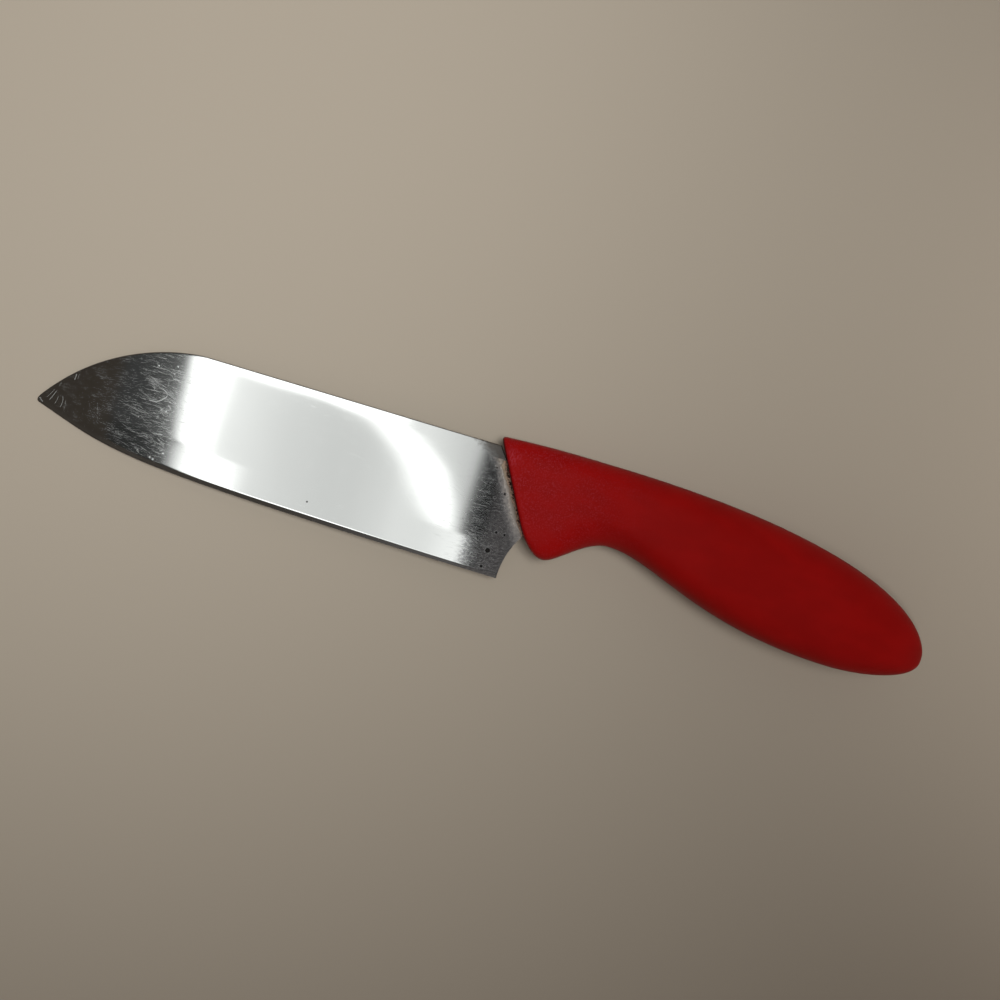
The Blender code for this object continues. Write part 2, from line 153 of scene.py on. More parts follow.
blade = {
    "length": 127.5,             # tip to heel corner
    "height": 32.85,
    "spineHalf": 0.75,           # half thicknesses
    "grindHalf": 0.30,
    "edgeHalf": 0.025,
    "bevelHeight": 1.35,
    "heelBevelHeight": 1.00,     # whetting has left it narrower at the heel
    "bevelNarrows": (70, 120),   # from here to here
    "bevelSoftness": 0.018,      # how far the bevel's worn shoulder lies under its sharp corner
    "facetHeight": 8.2,          # a second, slightly steeper grind up to here
    "facetSlope": 0.004,
    "spineRounding": 0.36,
    "spineRollRun": 3.2,         # polishing has rolled the side over towards the spine
    "spineRollSlope": 0.012,
    "straightEdge": 12.0,
    "tipHeight": 9.3,
    "tipBlunt": 1.1,
    "tipWear": 0.3,              # the blunt point's corners are worn off this far
    "tipAngle": 17,
    "tipFold": 0.06,             # a burr on the point, folded up this far across a slanting line
    "tipFoldSlant": (0.55, 0.83),
    "tipFoldRun": (1.15, 0.75),
    "bellyLead": 22.7,
    "bellyEase": 94.0,
    "dropLength": 40.5,
    "dropAngle": 56,
    "dropLead": 21.5,
    "dropEase": 8.7,
    "spineSetback": 8.4,
    "shoulderDrop": 3.3,
    "shoulderRun": 2.4,
    "shoulderShare": 0.2,        # of the neck's columns
    "neckLength": 19.0,
    "heelLead": 9.0,
    "neckEase": 14.5,
    "heelRounding": 0.26,
    "fadeStart": 5.0,            # the grind runs out behind the heel, inside the handle
    "fadeLength": 6.0,
    "tangHeight": 10.5,
    "tangLength": 58.0,
    "tangCorner": 3.0,
    "waviness": 0.003,           # of the ground side
    "waves": (5.9, 4.6, 2.7),    # along it, up it and slanting: lengths over 2 pi
    "slantingWave": (0.6, 0.6),  # its strength beside the others, and its slant
    "wavesFrom": (4.0, 24.0),
    "uprightRun": 105.0,         # the mesh's columns stand upright up to here
    "crowding": 1.3,             # and crowd towards the tip
    "uprightColumns": 300,
    "leaningColumns": 70,
    "neckColumns": 61,
    "tangColumns": 16,
    "cornerColumns": 5,
    "shortColumn": 8.0,          # a shorter one draws its end rows in
    "middleRows": 46,
    "edgeRows": (0, 0.04, 0.12, 0.25, 0.4, 0.55, 0.7, 0.8, 0.9, 1.0, 1.1, 1.2, 1.3, 1.45, 1.65,
                 1.9, 2.3, 2.8, 3.5, 4.3),
    "roundedRows": 7,
    "spineRows": (0.3, 0.45, 0.7, 1.0, 1.4, 1.9, 2.5),
}
spineEnd = blade["length"] - blade["spineSetback"]
neckTop = blade["height"] - blade["shoulderDrop"]
tangBottom = neckTop - blade["tangHeight"]
tangStart = blade["length"] + blade["neckLength"]
tangEnd = blade["length"] + blade["tangLength"]


def stanceFromFrame():
    # the lean comes from the axis of the face that the knife rests on, and the place from the
    # packed blade's far corner, where its tang ends
    mounts = {mount["name"]: mount for mount in frame["record"]["mounts"]}
    lean = math.asin(mounts["grip_side_flat"]["axis"][0])
    low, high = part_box("blade")
    along, up = math.cos(lean), math.sin(lean)
    end, half = tangEnd * mm, blade["spineHalf"] * mm
    return lean, np.array([high.x - end * along - half * up, low.y,
                           high.z - end * up - half * along])


lean, place = stanceFromFrame()


def edgeLine():
    # the cutting edge: one Bezier from the tip to where it runs straight, then level
    slope, straight = math.radians(blade["tipAngle"]), blade["length"] - blade["straightEdge"]
    tip, lead = blade["tipHeight"], blade["bellyLead"]
    belly = bezier([(0, tip), (lead * math.cos(slope), tip - lead * math.sin(slope)),
                    (straight - blade["bellyEase"], 0), (straight, 0)])
    return np.vstack([belly, [(tangEnd, 0)]])


def spineLine():
    # the spine: one Bezier for its turn-down to the tip, then level
    slope, top = math.radians(blade["dropAngle"]), blade["height"]
    tip, lead = blade["tipHeight"] + blade["tipBlunt"], blade["dropLead"]
    drop = bezier([(0, tip), (lead * math.cos(slope), tip + lead * math.sin(slope)),
                   (blade["dropLength"] - blade["dropEase"], top), (blade["dropLength"], top)])
    return np.vstack([drop, [(spineEnd, top)]])


def heelLine():
    # the back edge: one Bezier from the heel corner, upright, to the tang's underside, level
    heel = blade["length"]
    return bezier([(heel, 0), (heel, blade["heelLead"]), (tangStart - blade["neckEase"], tangBottom),
                   (tangStart, tangBottom)])


def edgeHeight(x):
    line = edgeLine()
    return np.interp(x, line[:, 0], line[:, 1])


def bladeColumns():
    # points that face each other on the lower and the upper outline, station by station: upright
    # columns on the blade, leaning ones up to the heel, then the neck and the tang
    top, upright, worn = blade["height"], blade["uprightRun"], blade["tipWear"]
    spine = spineLine()
    run = np.linspace(0, 1, blade["uprightColumns"]) ** blade["crowding"] * upright
    wear = worn * np.clip(1 - run / (2 * worn), 0, 1) ** 2
    lower = [np.stack([run, edgeHeight(run) + wear], axis=-1)]
    upper = [np.stack([run, np.interp(run, spine[:, 0], spine[:, 1]) - wear], axis=-1)]
    share = np.linspace(0, 1, blade["leaningColumns"])[1:]
    lower.append(np.stack([mix(upright, blade["length"], share), 0 * share], axis=-1))
    upper.append(np.stack([mix(upright, spineEnd, share), top + 0 * share], axis=-1))
    share = np.linspace(0, 1, blade["neckColumns"])[1:]
    turns = (0, blade["shoulderShare"], 1)
    lower.append(alongLine(heelLine(), share))
    upper.append(np.stack([np.interp(share, turns, (spineEnd, spineEnd + blade["shoulderRun"], tangStart)),
                           np.interp(share, turns, (top, neckTop, neckTop))], axis=-1))
    corner = tangEnd - blade["tangCorner"]
    run = np.concatenate([np.linspace(tangStart, corner, blade["tangColumns"])[1:],
                          np.linspace(corner, tangEnd, blade["cornerColumns"])[1:]])
    cut = np.clip(run - corner, 0, None)
    lower.append(np.stack([run, tangBottom + cut], axis=-1))
    upper.append(np.stack([run, neckTop - cut], axis=-1))
    return np.concatenate(lower), np.concatenate(upper)


def bladeHalf(x, y):
    # half thickness: the bevel's and the grind's planes, joined by a soft minimum; the second
    # grind takes a little more off below its line, and all of it fades out behind the heel
    edge = edgeHeight(x)
    up = y - edge
    high = mix(blade["bevelHeight"], blade["heelBevelHeight"], ease(x, *blade["bevelNarrows"]))
    bevel = mix(blade["edgeHalf"], blade["grindHalf"], up / high)
    grind = mix(blade["grindHalf"], blade["spineHalf"], (up - high) / (blade["height"] - edge - high))
    grind = grind - blade["facetSlope"] * np.clip(blade["facetHeight"] - up, 0, None)
    roll = np.clip(blade["spineRollRun"] - (blade["height"] - y), 0, None)
    grind = grind - blade["spineRollSlope"] * roll ** 2 / (2 * blade["spineRollRun"])
    soft = blade["bevelSoftness"]
    ground = -soft * np.logaddexp(-bevel / soft, -grind / soft)
    fadeStart = blade["length"] + blade["fadeStart"]
    fade = ease(x, fadeStart, fadeStart + blade["fadeLength"])
    return np.maximum(mix(ground, blade["spineHalf"], fade), blade["edgeHalf"])


def roundedOff(away, radius):
    # what a round edge takes off the half thickness, this far from it: radius less the circle
    inside = np.clip(radius - away, 0, None)
    return radius - np.sqrt(radius ** 2 - inside ** 2)


def bladeBend(x, y):
    # how far the middle of the sheet lies off its plane: the folded burr, and products of sines
    across, up = blade["tipFoldSlant"]
    start, end = blade["tipFoldRun"]
    slant = across * x + up * (y - blade["tipHeight"])
    bend = blade["tipFold"] * np.clip((slant - start) / (end - start), 0, 1)
    long, high, slanting = blade["waves"]
    strength, turn = blade["slantingWave"]
    wave = np.sin(x / long + 1) * np.sin(y / high) + strength * np.sin((x + turn * y) / slanting)
    length = blade["length"]
    wave = wave * ease(x, *blade["wavesFrom"]) * ease(x, 1.2 * length, 0.2 * length)
    return bend + blade["waviness"] * wave


def bladeRings():
    # each station is a loop: up one side from the edge to the spine, and down the other
    lower, upper = bladeColumns()
    length = np.linalg.norm(upper - lower, axis=1)[:, None]
    scale = np.clip(length / blade["shortColumn"], 0, 1)
    rounded = 1 - np.cos(np.linspace(0, np.pi / 2, blade["roundedRows"]))
    near = np.array(blade["edgeRows"])
    far = np.concatenate([blade["spineRounding"] * rounded, blade["spineRows"]])
    share = np.linspace(0, 1, blade["middleRows"])[1:-1]
    middle = mix(near[-1] * scale, length - far[-1] * scale, share)
    fromLow = np.concatenate([near * scale, middle, length - far[::-1] * scale], axis=1)
    points = lower[:, None] + ((upper - lower) / length)[:, None] * fromLow[..., None]
    x, y = points[..., 0], points[..., 1]
    half = bladeHalf(x, y) - roundedOff(length - fromLow, blade["spineRounding"] * scale)
    behindHeel = lower[:, :1] > blade["length"]
    half = half - roundedOff(fromLow, np.where(behindHeel, blade["heelRounding"], 1e-6))
    bend = bladeBend(x, y)
    front = np.stack([x, y, bend + half], axis=-1)
    back = np.stack([x, y, bend - half], axis=-1)
    return np.concatenate([front, back[:, ::-1]], axis=1)


# Handle: one red moulding over the tang

handle = {
    "frontGap": 0.7,             # spine's back corner to the front face
    "frontRake": 28.4,
    "frontRise": 2.3,
    "frontDepth": 20.8,
    "frontFillet": 1.2,
    "crest": (29.9, 3.2),        # run behind the front top corner, rise over the spine
    "chin": (18.7, -24.9),
    "groove": (34.1, -16.9),
    "palm": (95.0, -29.6),
    "butt": (116.6, -21.3),
    "topCorner": (0.38, 0.80),   # shares of the way for which the outline holds its direction
    "crestAhead": 0.52,
    "crestBehind": 0.94,
    "buttAbove": 0.15,
    "lowCorner": (0.39, 0.52),
    "chinAhead": 0.39,
    "chinBehind": 0.23,
    "grooveAhead": 0.41,
    "grooveBehind": 0.21,
    "palmAhead": 0.575,
    "palmBehind": 0.27,
    "buttBelow": 0.77,
    "frontHalf": 5.6,            # half thicknesses
    "grooveHalf": 6.8,
    "palmHalf": 9.3,
    "thickestRun": 62.0,
    "buttRounding": 24.0,
    "frontPower": 4.5,           # powers of the superellipse section
    "palmPower": 2.6,
    "scoopPower": 1.75,          # the belly's side is hollowed round the finger groove
    "scoopReach": 10.0,
    "lowerSide": (1 / 14, -9 / 14),   # cosine round the section where that side starts and is full
    "sideFlat": 0.42,
    "flatSoftness": 14,          # power that eases the round into the flat side
    "pocketGrowth": 1.1,         # pocket wall to the tang
    "mouthGrowth": 0.15,         # and at the mouth, up to this far in
    "mouthRun": 3.0,
    "pocketRim": 0.15,
    "pocketPower": 9.0,
    "around": 120,               # points round a section
    "pocketRings": 30,
    "filletRings": 10,
    "frontRings": 70,
    "backRings": 170,
}
rake = math.radians(handle["frontRake"])
squareBack = np.array([math.cos(rake), math.sin(rake)])   # straight into the front face
frontTop = blade["height"] + handle["frontRise"]
frontX = spineEnd + handle["frontGap"] - handle["frontRise"] * math.tan(rake)


def frontFace(y):
    # x of the raked front face at a height
    return frontX + (frontTop - y) * math.tan(rake)


def handlePoint(run, rise):
    return np.array([frontX + run, blade["height"] + rise])


def levelCurve(start, end, behind, ahead):
    # leaves and meets its points level
    run = np.array([end[0] - start[0], 0])
    return bezier([start, start + run * behind, end - run * ahead, end])


def corneredCurve(corner, end, behind, ahead):
    # from a front corner, in the corner's own direction, to a level point
    way = end - corner
    return bezier([corner, corner + way * behind, end - np.array([way[0] * ahead, 0]), end])


def closingCurve(start, butt, behind, upright):
    # from a level point to the butt, which it meets upright
    run, rise = butt - start
    return bezier([start, start + np.array([run * behind, 0]),
                   butt - np.array([0, rise * upright]), butt])


def handleCurves():
    # the back of the handle and its underside, each up to the groove and on to the butt
    crest, chin, groove, palm, butt = (handlePoint(*handle[name])
                                       for name in ("crest", "chin", "groove", "palm", "butt"))
    corner = handlePoint(0, handle["frontRise"])
    lowRun = (handle["frontRise"] + handle["frontDepth"]) * math.tan(rake)
    lowCorner = handlePoint(lowRun, -handle["frontDepth"])
    topFront = corneredCurve(corner, crest, handle["topCorner"], handle["crestAhead"])
    topBack = closingCurve(crest, butt, handle["crestBehind"], handle["buttAbove"])
    bottomFront = np.vstack([corneredCurve(lowCorner, chin, handle["lowCorner"], handle["chinAhead"]),
                             levelCurve(chin, groove, handle["chinBehind"], handle["grooveAhead"])[1:]])
    bottomBack = np.vstack([levelCurve(groove, palm, handle["grooveBehind"], handle["palmAhead"]),
                            closingCurve(palm, butt, handle["palmBehind"], handle["buttBelow"])[1:]])
    return topFront, topBack, bottomFront, bottomBack


def sections(top, bottom, half, power, inset=0.0, flat=0.0, lowPower=None):
    # each ring is a superellipse in polar form, r = (|cos|^p + |sin|^p)^(-1/p), standing on the
    # line from bottom to top; its sides are eased flat by raw / (1 + raw^k)^(1/k)
    angle = np.linspace(0, 2 * np.pi, handle["around"], endpoint=False)
    p = np.broadcast_to(power, len(top))[:, None]
    if lowPower is not None:
        p = mix(p, lowPower[:, None], ease(np.cos(angle), *handle["lowerSide"]))
    radius = (np.abs(np.cos(angle)) ** p + np.abs(np.sin(angle)) ** p) ** (-1 / p)
    along, across = radius * np.cos(angle), radius * np.sin(angle)
    if flat:
        depth = (1 - flat ** p) ** (1 / p)
        k = handle["flatSoftness"]
        eased = (across / depth) / (1 + np.abs(across / depth) ** k) ** (1 / k)
        across = eased * (1 + depth ** -k) ** (1 / k) * depth
    centre, spread = (top + bottom) / 2, (top - bottom) / 2
    reach = np.linalg.norm(spread, axis=1)[:, None]
    inset = np.broadcast_to(inset, len(top))[:, None]
    depth = np.broadcast_to(half, len(top))[:, None] - inset
    outline = centre[:, None] + (spread / reach)[:, None] * (along * (reach - inset))[..., None]
    return np.concatenate([outline, (across * depth)[..., None]], axis=-1)


def mouthLow():
    # where the heel's back edge passes the front face
    line = heelLine()
    behind = line[:, 0] - frontFace(line[:, 1])
    return np.array([np.interp(0, behind, line[:, 0]), np.interp(0, behind, line[:, 1])])


def pocketRings():
    # the pocket, from its end to its mouth: slim rounded boxes whose floor follows the neck
    grow, rim = handle["pocketGrowth"], handle["pocketRim"]
    half = blade["spineHalf"] + grow
    end = tangEnd + grow
    low, high = mouthLow(), neckTop + grow
    heel = heelLine()
    floor = np.vstack([[low], heel[heel[:, 1] > low[1]], [(end, tangBottom)]])
    behind = floor[:, 0] - frontFace(floor[:, 1])
    floor[:, 1] -= mix(handle["mouthGrowth"], grow, ease(behind, 0, handle["mouthRun"]))
    floor[0, 0] = frontFace(floor[0, 1])
    roof = np.array([(frontFace(high), high), (end, high)])
    share = np.linspace(1, 0, handle["pocketRings"])
    inner = sections(alongLine(roof, share), alongLine(floor, share), half, handle["pocketPower"])
    mouth = sections(alongLine(roof, [0]), alongLine(floor, [0]), half, handle["pocketPower"], inset=-rim)
    inner[-1, :, :2] += rim * squareBack
    return np.concatenate([inner, mouth])


def depthBehindFace(line):
    # how far each point of a line lies behind the front face, measured square to it
    return (line - line[0]) @ squareBack


def behindFace(line, depth):
    # the points of a line at these depths behind the front face
    behind = depthBehindFace(line)
    return np.stack([np.interp(depth, behind, line[:, 0]), np.interp(depth, behind, line[:, 1])], axis=-1)


def shareBehindFace(line, depth):
    # the share of a line's length at which it is this deep
    length = lengthAlong(line)
    return np.interp(depth, depthBehindFace(line), length / length[-1])


def scooped(bottom, power):
    # the lower side's power, eased towards the scoop's by a bell over the groove
    away = (bottom[:, 0] - frontX - handle["groove"][0]) / handle["scoopReach"]
    return mix(power, handle["scoopPower"], np.exp(-away ** 2))


def frontFilletRings(topFront, bottomFront):
    # a quarter round from the flat front face into the sides
    angle = np.linspace(0, np.pi / 2, handle["filletRings"], endpoint=False)
    inset = handle["frontFillet"] * (1 - np.sin(angle))
    setback = handle["frontFillet"] * (1 - np.cos(angle))
    return sections(behindFace(topFront, setback), behindFace(bottomFront, setback),
                    handle["frontHalf"], handle["frontPower"], inset, handle["sideFlat"])


def handleRings():
    # pocket, flat front face, front fillet, then sections back to the butt
    topFront, topBack, bottomFront, bottomBack = handleCurves()
    grooveRun, buttRun = handle["groove"][0], handle["butt"][0]
    share = np.arange(handle["frontRings"]) / handle["frontRings"]
    top, bottom = (alongLine(line, mix(shareBehindFace(line, handle["frontFillet"]), 1, share))
                   for line in (topFront, bottomFront))
    power = mix(handle["frontPower"], handle["palmPower"], smooth(share))
    front = sections(top, bottom, mix(handle["frontHalf"], handle["grooveHalf"], smooth(share)), power,
                     0, handle["sideFlat"], scooped(bottom, power))
    share = np.sin(np.pi / 2 * np.arange(handle["backRings"]) / handle["backRings"])
    thickest = (handle["thickestRun"] - grooveRun) / (buttRun - grooveRun)
    top, bottom = alongLine(topBack, share), alongLine(bottomBack, share)
    left = topBack[-1, 0] - (top[:, 0] + bottom[:, 0]) / 2
    intoButt = np.clip(1 - left / handle["buttRounding"], 0, 1)
    half = mix(handle["grooveHalf"], handle["palmHalf"], smooth(share / thickest))
    grip = sections(top, bottom, half * np.sqrt(1 - intoButt ** 2), handle["palmPower"],
                    0, handle["sideFlat"], scooped(bottom, handle["palmPower"]))
    return np.concatenate([pocketRings(), frontFilletRings(topFront, bottomFront), front, grip])


# Glue: the resin film beside the tang, squeezed out along the mouth as a crumbly bead

glue = {
    "clear": 0.02,               # resin to steel, as drawn
    "filmHalf": 1.75,            # half thickness out to the pocket's wall
    "filmSteps": (0.25, 0.6, 3.0, 12.0),   # depths behind the mouth at which the film is drawn
    "underSteps": (0.5, 0.9),    # and shares of the bead's reach at which its underside is
    "reach": 0.75,               # how far the bead stands out over the steel
    "reachNoise": 0.3,
    "reachCell": 1.3,
    "topReach": 1.1,             # and how much further in the upper half
    "thickness": 0.45,           # of the bead over the steel
    "height": (0.01, 1.6),       # and with its crumbs, at least and at most
    "endReach": 0.55,            # shares of reach and thickness that are left at the bead's ends
    "endThickness": 0.5,
    "lowEnd": 1 / 14,            # and how much of the mouth the ends take up
    "topEnd": 1 / 20,
    "featherRun": 1 / 30,        # shares of the way in over which it rises from nothing
    "crumbRun": 0.625,
    "crumb": 0.42,               # height of its crumbs
    "crumbCell": 0.55,
    "fineCrumbCell": 0.27,
    "bite": 0.9,                 # depth of the holes along the handle
    "biteCell": 0.8,
    "biteNoise": (1 / 22, 0.5),  # of the noise: where a hole starts and is full
    "biteRun": (0.72, 0.92),     # where they start and are full, on the way in
    "biteUp": (0.25, 0.5),       # and along the mouth
    "reachSeed": 11,             # each side adds its own sign, 1 or -1, to the seeds
    "crumbSeeds": (21, 31),
    "biteSeed": 41,
    "along": 220,
    "acrossTop": 34,
}


def onSteel(points, height):
    # these points, this far over the ground side
    z = bladeHalf(points[..., 0], points[..., 1]) + glue["clear"] + height
    return np.concatenate([points, z[..., None]], axis=-1)


def beadHeight(points, share, out, ends, side):
    # a quarter round dome with two sizes of crumbs, less the holes beside the handle; each is
    # smooth noise, and the whole eases in from the feather edge
    coarse, fine = (seed + side for seed in glue["crumbSeeds"])
    dome = np.sqrt(1 - (1 - out) ** 2) * glue["thickness"] * mix(glue["endThickness"], 1, ends)[:, None]
    crumbs = latticeNoise(points, glue["crumbCell"], coarse)
    crumbs = crumbs + 0.5 * latticeNoise(points, glue["fineCrumbCell"], fine)
    bites = ease(latticeNoise(points, glue["biteCell"], glue["biteSeed"] + side), *glue["biteNoise"])
    bites = bites * ease(out, *glue["biteRun"]) * ease(share, *glue["biteUp"])[:, None]
    height = dome + crumbs * glue["crumb"] * ease(out, 0, glue["crumbRun"]) - bites * glue["bite"]
    return np.clip(height, *glue["height"]) * ease(out, 0, glue["featherRun"])


def glueRings(side):
    # a loop at each station along the mouth: out along the steel to the feather edge, back over
    # the crumbly top to the handle, down into the pocket and forward again
    low, high = mouthLow(), np.array([frontFace(neckTop), neckTop])
    share = np.linspace(0, 1, glue["along"])
    base = low + (high - low) * share[:, None]
    spread = np.column_stack([base, 0 * share])
    ends = ease(share, 0, glue["lowEnd"]) * ease(share, 1, 1 - glue["topEnd"])
    reach = glue["reachNoise"] * latticeNoise(spread, glue["reachCell"], glue["reachSeed"] + side)
    reach = glue["reach"] + reach + glue["topReach"] * ease(share, 0.5, 1)
    reach = reach * mix(glue["endReach"], 1, ends)
    out = np.linspace(0, 1, glue["acrossTop"])          # from the feather edge back to the handle
    top = base[:, None] - squareBack * ((1 - out) * reach[:, None])[..., None]
    points = np.concatenate([top, np.full(top.shape[:2] + (1,), side)], axis=-1)
    overSteel = onSteel(top, beadHeight(points, share, out, ends, side))
    inside = base[:, None] + squareBack * np.array(glue["filmSteps"])[:, None]
    wall = np.concatenate([inside, np.full(inside.shape[:2] + (1,), glue["filmHalf"])], axis=-1)
    wall[:, 0, 2] = overSteel[:, -1, 2]
    under = onSteel(base[:, None] + squareBack * np.array([*glue["filmSteps"][:1:-1], 0])[:, None], 0)
    front = onSteel(base[:, None] - squareBack * (reach[:, None] * glue["underSteps"])[..., None], 0)
    loop = np.concatenate([overSteel, wall, under, front], axis=1)
    loop[..., 2] *= side
    return loop


# Tools for materials

smoothly = {"interpolation_type": "SMOOTHSTEP"}
times, minus, highest = ({"operation": name} for name in ("MULTIPLY", "SUBTRACT", "MAXIMUM"))
timesPlus = {"operation": "MULTIPLY_ADD"}
scaled = {"operation": "SCALE"}
asColour = {"data_type": "RGBA"}


def hexColour(code):
    # sRGB hex to linear light
    srgb = np.array([int(code[n:n + 2], 16) for n in (0, 2, 4)]) / 255
    linear = np.where(srgb <= 0.04045, srgb / 12.92, ((srgb + 0.055) / 1.055) ** 2.4)
    return (*linear.tolist(), 1.0)


def addNode(tree, kind, *values, **settings):
    # values go to the node's inputs in order: a socket is linked, a number set, None left alone
    node = tree.nodes.new("ShaderNode" + kind)
    for name, value in settings.items():
        setattr(node, name, value)
    inputs = [socket for socket in node.inputs if socket.enabled]
    for socket, value in zip(inputs, values):
        if isinstance(value, bpy.types.NodeSocket):
            tree.links.new(value, socket)
        elif value is not None:
            socket.default_value = value
    return next((socket for socket in node.outputs if socket.enabled), node)


def newMaterial(name, **settings):
    # an empty material, its node maker and its shader; settings are the shader's uniform numbers
    material = bpy.data.materials.new(name)
    material.use_nodes = True
    shader = material.node_tree.nodes["Principled BSDF"]
    for socket, value in settings.items():
        shader.inputs[socket.replace("_", " ")].default_value = value
    return material, functools.partial(addNode, material.node_tree), shader


def finish(shader, **outputs):
    # links what was worked out to the shader's sockets
    for socket, output in outputs.items():
        shader.id_data.links.new(output, shader.inputs[socket.replace("_", " ")])


def knifeSpace(add):
    # Object coordinates turned back into the knife's own millimetres
    along, up = math.cos(lean), math.sin(lean)
    x, y, z = (place / mm).tolist()
    home = (-(x * along + z * up), -y, -(z * along - x * up))
    here = add("TexCoord").node.outputs["Object"]
    return add("Mapping", here, home, (0, lean, 0), (1 / mm,) * 3)


def aheadOfMouth(add, x, y):
    # millimetres square to the handle's front face, minus ahead of it
    acrossFace, upFace = squareBack.tolist()
    across = add("Math", x, acrossFace, -frontX * acrossFace - frontTop * upFace, **timesPlus)
    return add("Math", y, upFace, across, **timesPlus)


def grownPattern(add, space, grain, turn, detail, wander):
    # noise with a grain in millimetres, turned about z by this many radians
    turned = add("Mapping", space, None, (0, 0, turn), grain, vector_type="TEXTURE")
    return add("TexNoise", turned, 1.0, detail, 0.5, 2.0, wander)


def grownPatterns(add, space, patterns):
    # each pattern: its grain, turn, detail and distortion
    return {name: grownPattern(add, space, *pattern) for name, pattern in patterns.items()}


def within(add, mask, value, span):
    # the mask, eased in over a span of this value; a span is a start, an end and, unless they are
    # 0 and 1, the levels there
    return add("Math", mask, add("MapRange", value, *span, **smoothly), **times)


def layered(add, colour, look, layers):
    # a colour with others of the same look laid over it, each by its own mask
    for name, mask in layers.items():
        colour = add("Mix", mask, colour, hexColour(look[name]), **asColour)
    return colour


def strongest(add, masks):
    # the highest of several masks at each place
    return functools.reduce(lambda first, second: add("Math", first, second, **highest), masks)
